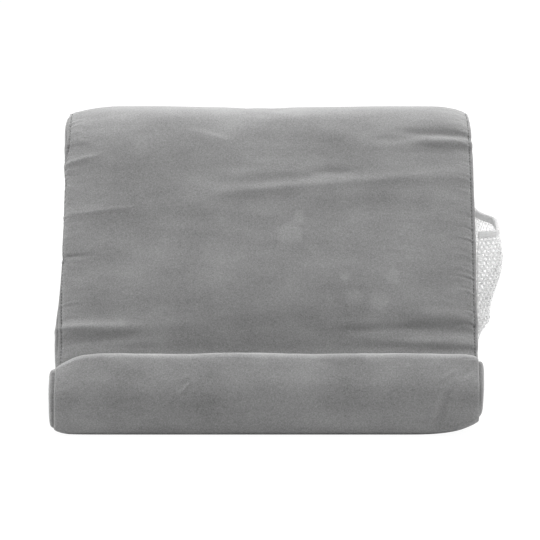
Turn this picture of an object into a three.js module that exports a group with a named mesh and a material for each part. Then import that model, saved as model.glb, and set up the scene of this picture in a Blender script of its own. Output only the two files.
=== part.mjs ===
// Tablet pillow stand: a filled wedge cushion, a filled roll along its front foot that a tablet stands on,
// and a net pocket on its right-hand side. Millimetres, +Z up, the leaning face looks towards -Y.
// The origin is on the floor, under the middle of the stand.
import * as THREE from 'three';

// Driving sizes of the wedge cushion
const seamHalfWidth = 146;
const wedgeHeight = 194;
const faceSlope = THREE.MathUtils.degToRad(58.5);
const backSlope = THREE.MathUtils.degToRad(85);
const topRadius = 40;
const frontFootRadius = 8;
const backFootRadius = 18;
const footY = -65;
const faceCrown = 3;
const backCrown = 4;
const topSag = 1;
const topHang = 60;

// Driving sizes of the ledge roll
const rollDepth = 46.3;
const rollTuck = 11;
const rollHalfWidth = 144;
const rollMiddleX = -1;
const rollFootRadius = 7;
const rollRearFootRadius = 6;
const rollRearHeight = 38;
const rollRearRadius = 5;
const rollEdge = { back: 20.8, z: 53.3, radius: 5.6 };
const rollBelly = { back: 5.5, z: 32, radius: 34 };

// Gap left between pieces that are sewn or pressed together
const seamGap = 0.3;

// Net and tape of the pocket
const netThickness = 1.2;
const tapeThickness = 0.8;
const tapeDrop = 4;
const tapeClearance = 0.5;
const pocketColumns = 26;
const pocketRows = 14;

// How far the wrap is drawn in beside the seam, from the seam inwards
const seamRings = [
  { fromSeam: 0, drawnIn: 3 },
  { fromSeam: 3, drawnIn: 1.5 },
  { fromSeam: 8, drawnIn: 0.6 },
  { fromSeam: 16, drawnIn: 0.1 },
];
const middleRings = 21;

// Side panel: share of the way from its middle to the seam, and how far it bulges past the seam
const panelRings = [
  { spread: 1, bulge: 0 },
  { spread: 0.985, bulge: 0.7 },
  { spread: 0.94, bulge: 1.2 },
  { spread: 0.82, bulge: 1.7 },
  { spread: 0.6, bulge: 2.1 },
  { spread: 0.3, bulge: 2.3 },
  { spread: 0, bulge: 2.4 },
];

// Ends of the top edge that hang a little, and the seams that are pulled in between the corners
const wedgeEnds = {
  left: { droop: 3.6, reach: 30, seamPull: 1.4 },
  right: { droop: 3.2, reach: 15, seamPull: -0.4 },
};
const seamPullUp = 165;
const seamPullHalfWidth = 55;
const seamPullFade = 8;

// Slack patches of the left-hand side panel that bag out beside the foot and the top of the face
const panelBags = [
  { y: footY + 46, z: 40, depth: 4, halfWidth: 24 },
  { y: footY + 126, z: 177, depth: 1.4, halfWidth: 16 },
];

// Main folds of the leaning face: where each starts and ends across the face, how far up the face it lies
// there, its height (a trough is below zero) and the half width of its section
const faceFolds = [
  { startX: 60, endX: 160, startUp: 212, endUp: 210, height: -2.2, halfWidth: 4.5 },
  { startX: 84, endX: 160, startUp: 205, endUp: 204.5, height: 1.6, halfWidth: 4.2 },
  { startX: 86, endX: 160, startUp: 199, endUp: 199, height: -1.7, halfWidth: 4.5 },
  { startX: -60, endX: 160, startUp: 161.5, endUp: 179.5, height: 1.6, halfWidth: 7 },
  { startX: -44, endX: 44, startUp: 178.5, endUp: 181.5, height: -0.8, halfWidth: 6 },
  { startX: -160, endX: -112, startUp: 183.5, endUp: 197, height: 1.5, halfWidth: 4.5 },
  { startX: -160, endX: -88, startUp: 147, endUp: 154, height: 0.9, halfWidth: 4.5 },
  { startX: -160, endX: -84, startUp: 71, endUp: 70, height: -0.9, halfWidth: 4.5 },
  { startX: -160, endX: -80, startUp: 63, endUp: 64, height: 2.2, halfWidth: 4.5 },
  { startX: -156, endX: -72, startUp: 55, endUp: 57, height: -1.6, halfWidth: 5 },
  { startX: 30, endX: 160, startUp: 68, endUp: 62, height: -1.7, halfWidth: 6 },
  { startX: 96, endX: 160, startUp: 55, endUp: 55, height: 0.9, halfWidth: 4.5 },
];
const foldFade = 26;

// End caps of the ledge roll, as for the side panels
const rollSeamRings = [
  { fromSeam: 0, drawnIn: 2.6 },
  { fromSeam: 3, drawnIn: 1.1 },
  { fromSeam: 9, drawnIn: 0.3 },
  { fromSeam: 16, drawnIn: 0.1 },
];
const rollMiddleRings = 16;
const rollCapRings = [
  { spread: 1, bulge: 0 },
  { spread: 0.95, bulge: 1.6 },
  { spread: 0.8, bulge: 2.8 },
  { spread: 0.5, bulge: 3.6 },
  { spread: 0, bulge: 4 },
];

// Squashed ends of the roll: by how much from above and from below at the seam, over what length, and how far
// the lower part of the cap is drawn in
const rollEnds = {
  left: { droop: 9, droopReach: 22, lift: 1.8, liftReach: 8, footTuck: 0 },
  right: { droop: 2.6, droopReach: 8, lift: 7, liftReach: 25, footTuck: 3 },
};

const rollTuckFade = 12;

// Shallow dips along the top of the roll
const rollDips = [
  { x: -62, depth: 0.9, halfWidth: 22 },
  { x: 40, depth: 0.7, halfWidth: 30 },
  { x: 118, depth: 1, halfWidth: 14 },
];

// Pocket: its two side edges at the bottom and at the mouth
const pocketBottom = { z: 14, frontY: footY + 46, rearY: footY + 172 };
const pocketMouth = { frontZ: 113.2, rearZ: 117.2, frontY: footY + 78, rearY: footY + 158 };

// Plan of the mouth: share of the way from front to rear, and share of the full bulge
const mouthPlan = [
  { along: 0, puff: 0 },
  { along: 0.012, puff: 0.32 },
  { along: 0.03, puff: 0.66 },
  { along: 0.06, puff: 0.87 },
  { along: 0.11, puff: 0.94 },
  { along: 0.24, puff: 0.98 },
  { along: 0.37, puff: 1 },
  { along: 0.45, puff: 0.97 },
  { along: 0.52, puff: 0.84 },
  { along: 0.6, puff: 0.58 },
  { along: 0.7, puff: 0.33 },
  { along: 0.82, puff: 0.18 },
  { along: 0.93, puff: 0.06 },
  { along: 1, puff: 0 },
];

// Fall of the pocket: share of the way from bottom to mouth, and how far the net stands off the panel
const pocketFall = [
  { rise: 0, bulge: 0 },
  { rise: 0.12, bulge: 0.1 },
  { rise: 0.22, bulge: 0.3 },
  { rise: 0.3, bulge: 2.6 },
  { rise: 0.38, bulge: 9.5 },
  { rise: 0.46, bulge: 10.1 },
  { rise: 0.54, bulge: 12.3 },
  { rise: 0.62, bulge: 15.4 },
  { rise: 0.7, bulge: 17.9 },
  { rise: 0.78, bulge: 19.4 },
  { rise: 0.86, bulge: 19.2 },
  { rise: 0.94, bulge: 16.7 },
  { rise: 1, bulge: 15.1 },
];

// Share of the pocket's height over which the net makes room for the tape behind it
const tapeRoomStart = 0.86;
const tapeRoomEnd = 0.96;

const coverFinish = { color: 0x888888, roughness: 0.95, metalness: 0 };
const netFinish = { color: 0xdedede, roughness: 0.8, metalness: 0 };
const tapeFinish = { color: 0xb8b8b8, roughness: 0.8, metalness: 0 };

// Share from 0 to 1 that eases at both ends
function ease(value, low, high) {
  return THREE.MathUtils.smoothstep(value, low, high);
}

// Bell-shaped weight, 1 at no offset
function bell(offset, halfWidth) {
  return Math.exp(-((offset / halfWidth) ** 2));
}

// Value of one column of a table at a place in another column, in straight steps between the rows
function readTable(rows, placeColumn, valueColumn, place) {
  const last = rows.length - 1;
  const after = Math.min(Math.max(rows.findIndex((row) => row[placeColumn] <= place), 1), last);
  const high = rows[after - 1];
  const low = rows[after];
  const share = (place - low[placeColumn]) / (high[placeColumn] - low[placeColumn]);
  return THREE.MathUtils.lerp(low[valueColumn], high[valueColumn], THREE.MathUtils.clamp(share, 0, 1));
}

// Points of a polygon with round corners, counter-clockwise in the Y-Z plane, each with its outward normal.
// A corner's side is the one that leaves it, and its turn is the round part before that.
function roundedOutline(corners) {
  const outline = [];
  const arcs = corners.map((corner, index) => {
    const point = new THREE.Vector2(corner.y, corner.z);
    const previous = corners.at(index - 1);
    const next = corners[(index + 1) % corners.length];
    const back = new THREE.Vector2(previous.y, previous.z).sub(point).normalize();
    const onward = new THREE.Vector2(next.y, next.z).sub(point).normalize();
    const halfAngle = Math.acos(back.dot(onward)) / 2;
    const bisector = back.clone().add(onward).normalize();
    const centre = point.clone().addScaledVector(bisector, corner.radius / Math.sin(halfAngle));
    const start = point.clone().addScaledVector(back, corner.radius / Math.tan(halfAngle));
    const startAngle = start.clone().sub(centre).angle();
    return { centre, startAngle, sweep: Math.PI - 2 * halfAngle };
  });
  const onArc = (index, share) => {
    const { centre, startAngle, sweep } = arcs[index];
    const angle = startAngle + sweep * share;
    const normal = new THREE.Vector2(Math.cos(angle), Math.sin(angle));
    return { point: centre.clone().addScaledVector(normal, corners[index].radius), normal };
  };
  corners.forEach((corner, index) => {
    for (let step = 0; step < corner.arcSteps; step++) {
      const { point, normal } = onArc(index, step / corner.arcSteps);
      outline.push({ point, normal, side: corner.turn, along: 0 });
    }
    const from = onArc(index, 1);
    const to = onArc((index + 1) % corners.length, 0);
    for (let step = 0; step < corner.sideSteps; step++) {
      const along = step / corner.sideSteps;
      const point = from.point.clone().lerp(to.point, along);
      outline.push({ point, normal: from.normal, side: corner.side, along });
    }
  });
  return outline;
}

// Closed solid of rings along X: each ring is the outline, spread about its middle, placed point by point
function loftAlongX(rings, outline, place) {
  const gauge = rings.map((ring) => new THREE.Vector2(ring.spread, ring.x));
  const geometry = new THREE.LatheGeometry(gauge, outline.length);
  const position = geometry.attributes.position;
  for (let index = 0; index < position.count; index++) {
    const ring = rings[index % rings.length];
    const edge = outline[Math.floor(index / rings.length) % outline.length];
    const point = place(ring, edge);
    position.setXYZ(index, point.x, point.y, point.z);
  }
  geometry.computeVertexNormals();
  return geometry;
}

// Rings from the middle of the left end, across the wrap, to the middle of the right end
function ringsAcross(halfWidth, endRings, edgeRings, middleCount) {
  const seamDrawnIn = edgeRings[0].drawnIn;
  const rightEnd = endRings.slice(1).map((row) => {
    return { spread: row.spread, x: halfWidth + row.bulge, drawnIn: seamDrawnIn };
  });
  const rightEdge = edgeRings.map((row) => {
    return { spread: 1, x: halfWidth - row.fromSeam, drawnIn: row.drawnIn };
  });
  const innerHalf = halfWidth - edgeRings.at(-1).fromSeam;
  const middle = [];
  for (let step = 1; step < middleCount; step++) {
    const x = THREE.MathUtils.lerp(-innerHalf, innerHalf, step / middleCount);
    middle.push({ spread: 1, x, drawnIn: 0 });
  }
  const mirror = (ring) => ({ ...ring, x: -ring.x });
  return [
    ...rightEnd.map(mirror).reverse(),
    ...rightEdge.map(mirror),
    ...middle,
    ...rightEdge.slice().reverse(),
    ...rightEnd,
  ];
}

// Wedge section, worked out from the height, the two slopes and the round top edge
const topCentre = new THREE.Vector2(0, wedgeHeight - topRadius);
topCentre.x = footY + topCentre.y / Math.tan(faceSlope) + topRadius / Math.sin(faceSlope);
const backFootY = topCentre.x + topCentre.y / Math.tan(backSlope) + topRadius / Math.sin(backSlope);
const wedgePeakZ = (backFootY - footY) / (1 / Math.tan(faceSlope) + 1 / Math.tan(backSlope));
const wedgePeakY = footY + wedgePeakZ / Math.tan(faceSlope);
const wedgeOutline = roundedOutline([
  { y: footY, z: 0, radius: frontFootRadius, arcSteps: 5, side: 'base', sideSteps: 8 },
  { y: backFootY, z: 0, radius: backFootRadius, arcSteps: 6, side: 'back', sideSteps: 10 },
  { y: wedgePeakY, z: wedgePeakZ, radius: topRadius, turn: 'top', arcSteps: 22, side: 'face', sideSteps: 42 },
]);
const panelMiddle = new THREE.Vector2((footY + backFootY + wedgePeakY) / 3, wedgePeakZ / 3);
const faceUp = new THREE.Vector2(Math.cos(faceSlope), Math.sin(faceSlope));
const faceNormal = new THREE.Vector2(-Math.sin(faceSlope), Math.cos(faceSlope));
const faceFoot = new THREE.Vector2(footY, 0);
const faceStartUp = frontFootRadius / Math.tan(faceSlope / 2);
const faceEndUp = upTheFace(topCentre);

// Weight of a fold across the face: full between its ends, fading out at both
function foldReach(fold, x) {
  return ease(x, fold.startX, fold.startX + foldFade) * (1 - ease(x, fold.endX - foldFade, fold.endX));
}

// Distance up the leaning face from the line where its plane meets the floor
function upTheFace(point) {
  return point.clone().sub(faceFoot).dot(faceUp);
}

// The same distance for a point of the outline, carried on round the top edge
function upTheWedge(edge) {
  if (edge.side === 'top') {
    return faceEndUp + topRadius * edge.normal.angleTo(faceNormal);
  }
  return upTheFace(edge.point);
}

// How far the leaning face stands proud of its flat plane
function faceRise(x, up) {
  const across = 1 - (x / seamHalfWidth) ** 2;
  const along = THREE.MathUtils.clamp((up - faceStartUp) / (faceEndUp - faceStartUp), 0, 1);
  let rise = faceCrown * Math.max(across, 0) * Math.sin(Math.PI * along) ** 2;
  for (const fold of faceFolds) {
    const share = (x - fold.startX) / (fold.endX - fold.startX);
    const line = THREE.MathUtils.lerp(fold.startUp, fold.endUp, share);
    rise += fold.height * foldReach(fold, x) * bell(up - line, fold.halfWidth);
  }
  return rise;
}

// One point of the wedge: a ring's place on the outline, with crown, folds, drawn-in seams and hanging ends
function wedgePoint(ring, edge) {
  const end = ring.x < 0 ? wedgeEnds.left : wedgeEnds.right;
  const seamX = THREE.MathUtils.clamp(ring.x, -seamHalfWidth, seamHalfWidth);
  const fromSeam = seamHalfWidth - Math.abs(seamX);
  const across = 1 - (seamX / seamHalfWidth) ** 2;
  const isFace = edge.side === 'face' || edge.side === 'top';
  let rise = -ring.drawnIn;
  if (isFace) {
    rise += faceRise(seamX, upTheWedge(edge));
  } else if (edge.side === 'back') {
    rise += backCrown * across * Math.sin(Math.PI * edge.along) ** 2;
  }
  const flat = edge.point.clone().addScaledVector(edge.normal, rise);
  const nearTop = ease(flat.y, wedgeHeight - topHang, wedgeHeight);
  flat.y -= nearTop * (topSag * across + end.droop * (1 - ease(fromSeam, 0, end.reach)));
  const spread = panelMiddle.clone().lerp(flat, ring.spread);
  const nearSeam = ring.spread * (Math.abs(seamX) / seamHalfWidth) ** seamPullFade;
  let bagged = 0;
  for (const bag of ring.x < -seamHalfWidth ? panelBags : []) {
    bagged += bag.depth * bell(Math.hypot(spread.x - bag.y, spread.y - bag.z), bag.halfWidth);
  }
  const onFace = isFace ? bell(upTheWedge(edge) - seamPullUp, seamPullHalfWidth) : 0;
  const pull = end.seamPull * onFace * nearSeam;
  const x = ring.x - Math.sign(ring.x) * pull - bagged;
  return new THREE.Vector3(x, spread.x, spread.y);
}

// Outer surface of the right-hand side panel at a place on it
function rightPanelX(y, z) {
  const place = new THREE.Vector2(y, z).sub(panelMiddle);
  let spread = 0;
  wedgeOutline.forEach((edge, index) => {
    const next = wedgeOutline[(index + 1) % wedgeOutline.length];
    const from = edge.point.clone().sub(panelMiddle);
    const side = next.point.clone().sub(edge.point);
    spread = Math.max(spread, place.cross(side) / from.cross(side));
  });
  return seamHalfWidth + readTable(panelRings, 'spread', 'bulge', spread);
}

// Roll section: flat underneath, its front leaning back to a soft edge, its top falling back to the face
const rollFrontY = footY - rollDepth;
const rollRearY = footY + rollTuck;
const rollCreaseY = footY + rollRearHeight / Math.tan(faceSlope);
const edgeCorner = { y: rollFrontY + rollEdge.back, z: rollEdge.z, radius: rollEdge.radius };
const bellyCorner = { y: rollFrontY + rollBelly.back, z: rollBelly.z, radius: rollBelly.radius };
const rollOutline = roundedOutline([
  { y: rollFrontY, z: 0, radius: rollFootRadius, arcSteps: 6, side: 'under', sideSteps: 5 },
  { y: rollRearY, z: 0, radius: rollRearFootRadius, arcSteps: 3, side: 'rear', sideSteps: 7 },
  { y: rollCreaseY, z: rollRearHeight, radius: rollRearRadius, arcSteps: 4, side: 'top', sideSteps: 7 },
  { ...edgeCorner, arcSteps: 9, side: 'front', sideSteps: 4 },
  { ...bellyCorner, arcSteps: 5, side: 'front', sideSteps: 3 },
]);
const rollHeight = Math.max(...rollOutline.map((edge) => edge.point.y));
const rollMiddle = new THREE.Vector2((rollFrontY + rollCreaseY) / 2, rollHeight / 2);

// One point of the roll: squashed ends, shallow dips, and pressed back wherever it meets the leaning face
function rollPoint(ring, edge) {
  const end = ring.x < 0 ? rollEnds.left : rollEnds.right;
  const seamX = THREE.MathUtils.clamp(ring.x, -rollHalfWidth, rollHalfWidth);
  const fromSeam = rollHalfWidth - Math.abs(seamX);
  const flat = edge.point.clone().addScaledVector(edge.normal, -ring.drawnIn);
  const height = flat.y / rollHeight;
  flat.y -= height * end.droop * (1 - ease(fromSeam, 0, end.droopReach));
  flat.y += (1 - height) * end.lift * (1 - ease(fromSeam, 0, end.liftReach));
  for (const dip of rollDips) {
    flat.y -= height * dip.depth * bell(seamX - dip.x, dip.halfWidth);
  }
  const spread = rollMiddle.clone().lerp(flat, ring.spread);
  const clearance = spread.clone().sub(faceFoot).dot(faceNormal);
  const pressedTo = seamGap + Math.max(faceRise(rollMiddleX + seamX, upTheFace(spread)), 0);
  if (clearance < pressedTo) {
    spread.addScaledVector(faceNormal, pressedTo - clearance);
  }
  const lower = (1 - spread.y / rollHeight) ** 2 * (Math.abs(seamX) / rollHalfWidth) ** rollTuckFade;
  const x = rollMiddleX + ring.x - Math.sign(ring.x) * end.footTuck * lower;
  return new THREE.Vector3(x, spread.x, spread.y);
}

// Pocket surface that faces the panel: front to rear by one share, bottom to mouth by the other
const planCurve = new THREE.SplineCurve(mouthPlan.map((row) => new THREE.Vector2(row.along, row.puff)));
const fallCurve = new THREE.SplineCurve(pocketFall.map((row) => new THREE.Vector2(row.rise, row.bulge)));

function pocketInner(frontToRear, bottomToMouth) {
  const plan = planCurve.getPoint(THREE.MathUtils.clamp(frontToRear, 0, 1));
  const fall = fallCurve.getPoint(THREE.MathUtils.clamp(bottomToMouth, 0, 1));
  const frontY = THREE.MathUtils.lerp(pocketBottom.frontY, pocketMouth.frontY, fall.x);
  const rearY = THREE.MathUtils.lerp(pocketBottom.rearY, pocketMouth.rearY, fall.x);
  const y = THREE.MathUtils.lerp(frontY, rearY, plan.x);
  const mouthZ = THREE.MathUtils.lerp(pocketMouth.frontZ, pocketMouth.rearZ, plan.x);
  const z = THREE.MathUtils.lerp(pocketBottom.z, mouthZ, fall.x);
  const tapeRoom = (tapeThickness + tapeClearance) * ease(fall.x, tapeRoomStart, tapeRoomEnd);
  const stand = seamGap + tapeRoom + Math.max(plan.y * fall.y, 0);
  return new THREE.Vector3(rightPanelX(y, z) + stand, y, z);
}

// Directions on the pocket surface: out of it, and along it towards the mouth
function pocketDirections(frontToRear, bottomToMouth) {
  const step = 0.004;
  const rearwards = pocketInner(frontToRear + step, bottomToMouth);
  rearwards.sub(pocketInner(frontToRear - step, bottomToMouth));
  const upwards = pocketInner(frontToRear, bottomToMouth + step);
  upwards.sub(pocketInner(frontToRear, bottomToMouth - step));
  return { outward: rearwards.cross(upwards).normalize(), upwards: upwards.normalize() };
}

function pocketNet() {
  const geometry = new THREE.BoxGeometry(1, 1, 1, pocketColumns, pocketRows, 1);
  const position = geometry.attributes.position;
  const share = new THREE.Vector3();
  for (let index = 0; index < position.count; index++) {
    share.fromBufferAttribute(position, index).addScalar(0.5);
    const point = pocketInner(share.x, share.y);
    point.addScaledVector(pocketDirections(share.x, share.y).outward, share.z * netThickness);
    position.setXYZ(index, point.x, point.y, point.z);
  }
  geometry.computeVertexNormals();
  return geometry;
}

// Tape folded over the mouth edge: a channel section carried along the lip from rear to front
function pocketBinding() {
  const inside = -tapeClearance;
  const outside = netThickness + tapeClearance;
  const section = new THREE.Shape();
  section.moveTo(inside - tapeThickness, -tapeDrop);
  section.lineTo(inside, -tapeDrop);
  section.lineTo(inside, seamGap);
  section.lineTo(outside, seamGap);
  section.lineTo(outside, -tapeDrop);
  section.lineTo(outside + tapeThickness, -tapeDrop);
  section.lineTo(outside + tapeThickness, seamGap + tapeThickness);
  section.lineTo(inside - tapeThickness, seamGap + tapeThickness);
  section.closePath();
  const run = { depth: 1, steps: pocketColumns, bevelEnabled: false };
  const geometry = new THREE.ExtrudeGeometry(section, run);
  const position = geometry.attributes.position;
  const place = new THREE.Vector3();
  for (let index = 0; index < position.count; index++) {
    place.fromBufferAttribute(position, index);
    const frontToRear = 1 - place.z;
    const { outward, upwards } = pocketDirections(frontToRear, 1);
    const point = pocketInner(frontToRear, 1);
    point.addScaledVector(outward, place.x).addScaledVector(upwards, place.y);
    position.setXYZ(index, point.x, point.y, point.z);
  }
  geometry.computeVertexNormals();
  return geometry;
}

function sewnPiece(name, geometry, finish) {
  const mesh = new THREE.Mesh(geometry, new THREE.MeshStandardMaterial(finish));
  mesh.name = name;
  return mesh;
}

const wedgeRings = ringsAcross(seamHalfWidth, panelRings, seamRings, middleRings);
const rollRings = ringsAcross(rollHalfWidth, rollCapRings, rollSeamRings, rollMiddleRings);

const stand = new THREE.Group();
stand.add(
  sewnPiece('wedge_cushion', loftAlongX(wedgeRings, wedgeOutline, wedgePoint), coverFinish),
  sewnPiece('ledge_roll', loftAlongX(rollRings, rollOutline, rollPoint), coverFinish),
  sewnPiece('pocket_net', pocketNet(), netFinish),
  sewnPiece('pocket_binding', pocketBinding(), tapeFinish),
);

export default stand;
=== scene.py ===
import math

import bpy
import numpy as np
from mathutils import Matrix, Vector, noise
from mathutils.bvhtree import BVHTree
from mathutils.kdtree import KDTree


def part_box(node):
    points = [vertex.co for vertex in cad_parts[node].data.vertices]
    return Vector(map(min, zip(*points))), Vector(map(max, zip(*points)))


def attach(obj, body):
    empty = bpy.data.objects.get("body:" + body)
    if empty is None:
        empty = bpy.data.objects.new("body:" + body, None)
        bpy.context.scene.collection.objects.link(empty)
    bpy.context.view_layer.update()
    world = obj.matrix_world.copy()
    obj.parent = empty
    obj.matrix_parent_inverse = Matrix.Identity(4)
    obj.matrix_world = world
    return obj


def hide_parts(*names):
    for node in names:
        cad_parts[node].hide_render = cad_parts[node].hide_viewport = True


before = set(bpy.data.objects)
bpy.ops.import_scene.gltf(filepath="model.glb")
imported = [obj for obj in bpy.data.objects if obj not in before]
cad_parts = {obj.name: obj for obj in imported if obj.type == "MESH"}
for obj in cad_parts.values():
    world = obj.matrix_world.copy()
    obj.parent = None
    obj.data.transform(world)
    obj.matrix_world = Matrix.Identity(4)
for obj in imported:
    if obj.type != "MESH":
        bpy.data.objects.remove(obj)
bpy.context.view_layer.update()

scene = bpy.context.scene
mm = 0.001
leastWeight = 0.01             # a smaller vertex weight counts as none
nodeCopy = {"weld": 0.02 * mm, "quadAngle": math.radians(60)}


# Small helpers for selecting, editing and moving points

def pickOnly(piece):
    bpy.ops.object.select_all(action="DESELECT")
    piece.select_set(True)
    bpy.context.view_layer.objects.active = piece


def editAll(piece):
    pickOnly(piece)
    bpy.ops.object.mode_set(mode="EDIT")
    bpy.ops.mesh.select_all(action="SELECT")


def leaveEdit():
    bpy.ops.object.mode_set(mode="OBJECT")


def applyModifier(piece, kind, **settings):
    pickOnly(piece)
    modifier = piece.modifiers.new(kind.title(), kind)
    for name, value in settings.items():
        setattr(modifier, name, value)
    bpy.ops.object.modifier_apply(modifier=modifier.name)


def subdivideOnce(piece):
    applyModifier(piece, "SUBSURF", levels=1, render_levels=1)


def readPoints(piece):
    points = np.empty(len(piece.data.vertices) * 3)
    piece.data.vertices.foreach_get("co", points)
    return points.reshape(-1, 3)


def readNormals(piece):
    normals = np.empty(len(piece.data.vertices) * 3)
    piece.data.vertex_normals.foreach_get("vector", normals)
    return normals.reshape(-1, 3)


def writePoints(piece, points):
    piece.data.vertices.foreach_set("co", points.ravel())
    piece.data.update()


def ease(value, low, high):
    share = np.clip((value - low) / (high - low), 0, 1)
    return share * share * (3 - 2 * share)


def bell(offset, halfWidth):
    return np.exp(-(offset / halfWidth) ** 2)


def cloudAt(points, scale, seed):
    shift = Vector((seed * 3.7, seed * 1.3, seed * 5.1))   # each seed has its own part of the noise
    return np.array([noise.noise(Vector(p) * scale + shift) for p in points])


def copyOfNode(nodeName, pieceName):
    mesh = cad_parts[nodeName].data.copy()
    mesh.materials.clear()
    piece = bpy.data.objects.new(pieceName, mesh)
    scene.collection.objects.link(piece)
    pickOnly(piece)
    bpy.ops.mesh.customdata_custom_splitnormals_clear()
    editAll(piece)
    bpy.ops.mesh.remove_doubles(threshold=nodeCopy["weld"])   # a node comes as loose triangles
    angle = nodeCopy["quadAngle"]
    bpy.ops.mesh.tris_convert_to_quads(face_threshold=angle, shape_threshold=angle)
    leaveEdit()
    bpy.ops.object.shade_smooth()
    return piece


def surfaceOf(piece):
    return BVHTree.FromObject(piece, bpy.context.evaluated_depsgraph_get())


def weightGroup(piece, name, weights):
    group = piece.vertex_groups.new(name=name)
    for index in np.nonzero(weights > leastWeight)[0]:
        group.add([int(index)], float(weights[index]), "REPLACE")
    return group.name


def swell(piece, pinned, full, sizes):
    start = readPoints(piece)
    rng = np.random.default_rng(sizes["seed"])
    shift = rng.normal(0, sizes["jitter"], len(start)) * full - sizes["startSmaller"]
    writePoints(piece, start + readNormals(piece) * (shift * (1 - pinned))[:, None])
    sewn = weightGroup(piece, "sewn", np.maximum(pinned, sizes["hold"]))
    fullness = weightGroup(piece, "fullness", full)
    pickOnly(piece)
    cloth = piece.modifiers.new("Cloth", "CLOTH")
    cloth.settings.quality = sizes["steps"]
    cloth.settings.mass = sizes["clothMass"]
    cloth.settings.tension_stiffness = sizes["stretch"]
    cloth.settings.compression_stiffness = sizes["stretch"]
    cloth.settings.shear_stiffness = sizes["shear"]
    cloth.settings.bending_stiffness = sizes["bend"]
    cloth.settings.use_pressure = True
    cloth.settings.uniform_pressure_force = sizes["pressure"]
    cloth.settings.vertex_group_mass = sewn
    cloth.settings.vertex_group_shrink = fullness
    cloth.settings.shrink_min = 0
    cloth.settings.shrink_max = -sizes["fullness"]
    cloth.settings.effector_weights.gravity = 0
    cloth.collision_settings.use_collision = False
    cloth.point_cache.frame_start = 1
    cloth.point_cache.frame_end = sizes["frames"]
    for frameNumber in range(1, sizes["frames"] + 1):
        scene.frame_set(frameNumber)
    bpy.ops.object.modifier_apply(modifier=cloth.name)
    scene.frame_set(1)
    normals = readNormals(piece)
    move = readPoints(piece) - start
    outward = (move * normals).sum(axis=1)[pinned < leastWeight].mean()
    move += normals * ((sizes["filled"] - outward) * (1 - pinned))[:, None]   # out to the size of the solid
    length = np.linalg.norm(move, axis=1)
    capped = np.minimum(length, sizes["cap"]) / np.maximum(length, 1e-9)
    writePoints(piece, start + move * capped[:, None])
    piece.vertex_groups.clear()
    grown, most = (outward / mm).round(2), (length.max() / mm).round(2)
    print("swelled", piece.name, "by", grown, "mm, then up to", most, "mm")


# Camera, at the photo's height and distance
viewpoint = {
    "target": (1.2 * mm, -5 * mm, 90.2 * mm), "elevation": 13.5, "distance": 1.525,
    "lens": 143.7, "sensor": 36,
}


def makeCamera(sizes):
    lift = math.radians(sizes["elevation"])
    back = Vector((0, -math.cos(lift), math.sin(lift)))
    bpy.ops.object.camera_add(location=Vector(sizes["target"]) + back * sizes["distance"])
    camera = bpy.context.active_object
    camera.name = "photoCamera"
    camera.rotation_euler = (-back).to_track_quat("-Z", "Y").to_euler()
    camera.data.sensor_width = sizes["sensor"]
    camera.data.lens = sizes["lens"]
    scene.camera = camera


makeCamera(viewpoint)
print("camera ready")


# Finishes

def newGroup(name, inputs, outputs):
    group = bpy.data.node_groups.new(name, "ShaderNodeTree")
    for label, kind, value in inputs:
        socket = group.interface.new_socket(label, in_out="INPUT", socket_type=kind)
        socket.default_value = value
    for label, kind in outputs:
        group.interface.new_socket(label, in_out="OUTPUT", socket_type=kind)
    return group


def addNode(tree, kind, values=None, **settings):
    node = tree.nodes.new(kind)
    for name, value in settings.items():
        setattr(node, name, value)
    for socket, value in (values or {}).items():
        node.inputs[socket].default_value = value
    return node


def math2(tree, operation, first, second):
    node = addNode(tree, "ShaderNodeMath", operation=operation)
    for socket, value in zip(node.inputs, (first, second)):
        if isinstance(value, (int, float)):
            socket.default_value = value
        else:
            tree.links.new(value, socket)
    return node.outputs[0]


def noiseAt(tree, place, scale, detail, roughness):
    node = addNode(tree, "ShaderNodeTexNoise", {"Scale": scale, "Detail": detail, "Roughness": roughness})
    tree.links.new(place, node.inputs["Vector"])
    return node.outputs["Fac"]


# Short brushed nap: scale, detail and roughness of each noise
nap = {
    "cloud": (22.0, 3.0, 0.55), "smear": (60.0, 3.0, 0.6),
    "speck": (700.0, 2.0, 0.6), "grain": (1250.0, 2.0, 0.7),
    "smearStretch": (0.3, 1.0, 1.0), "speckShare": 0.35, "middle": 0.5,
}


def makeNapGroup(sizes):
    inputs = [
        ("Place", "NodeSocketVector", (0, 0, 0)),
        ("Cloud Share", "NodeSocketFloat", 0.0),
        ("Grain Share", "NodeSocketFloat", 0.0),
    ]
    group = newGroup("brushedNap", inputs, [("Tone", "NodeSocketFloat"), ("Height", "NodeSocketFloat")])
    fromOutside = group.nodes.new("NodeGroupInput")
    toOutside = group.nodes.new("NodeGroupOutput")
    place = fromOutside.outputs["Place"]
    stretch = addNode(group, "ShaderNodeMapping", {"Scale": sizes["smearStretch"]})
    group.links.new(place, stretch.inputs["Vector"])
    cloud = noiseAt(group, place, *sizes["cloud"])
    smear = noiseAt(group, stretch.outputs["Vector"], *sizes["smear"])
    speck = noiseAt(group, place, *sizes["speck"])
    grain = noiseAt(group, place, *sizes["grain"])
    broad = math2(group, "SUBTRACT", math2(group, "ADD", cloud, smear), 1.0)
    speck = math2(group, "MULTIPLY", math2(group, "SUBTRACT", speck, sizes["middle"]), sizes["speckShare"])
    fine = math2(group, "ADD", speck, math2(group, "SUBTRACT", grain, sizes["middle"]))
    broadPart = math2(group, "MULTIPLY", broad, fromOutside.outputs["Cloud Share"])
    finePart = math2(group, "MULTIPLY", fine, fromOutside.outputs["Grain Share"])
    tone = math2(group, "ADD", math2(group, "ADD", broadPart, finePart), 1.0)
    group.links.new(tone, toOutside.inputs["Tone"])
    group.links.new(fine, toOutside.inputs["Height"])
    return group


napGroup = makeNapGroup(nap)


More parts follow.
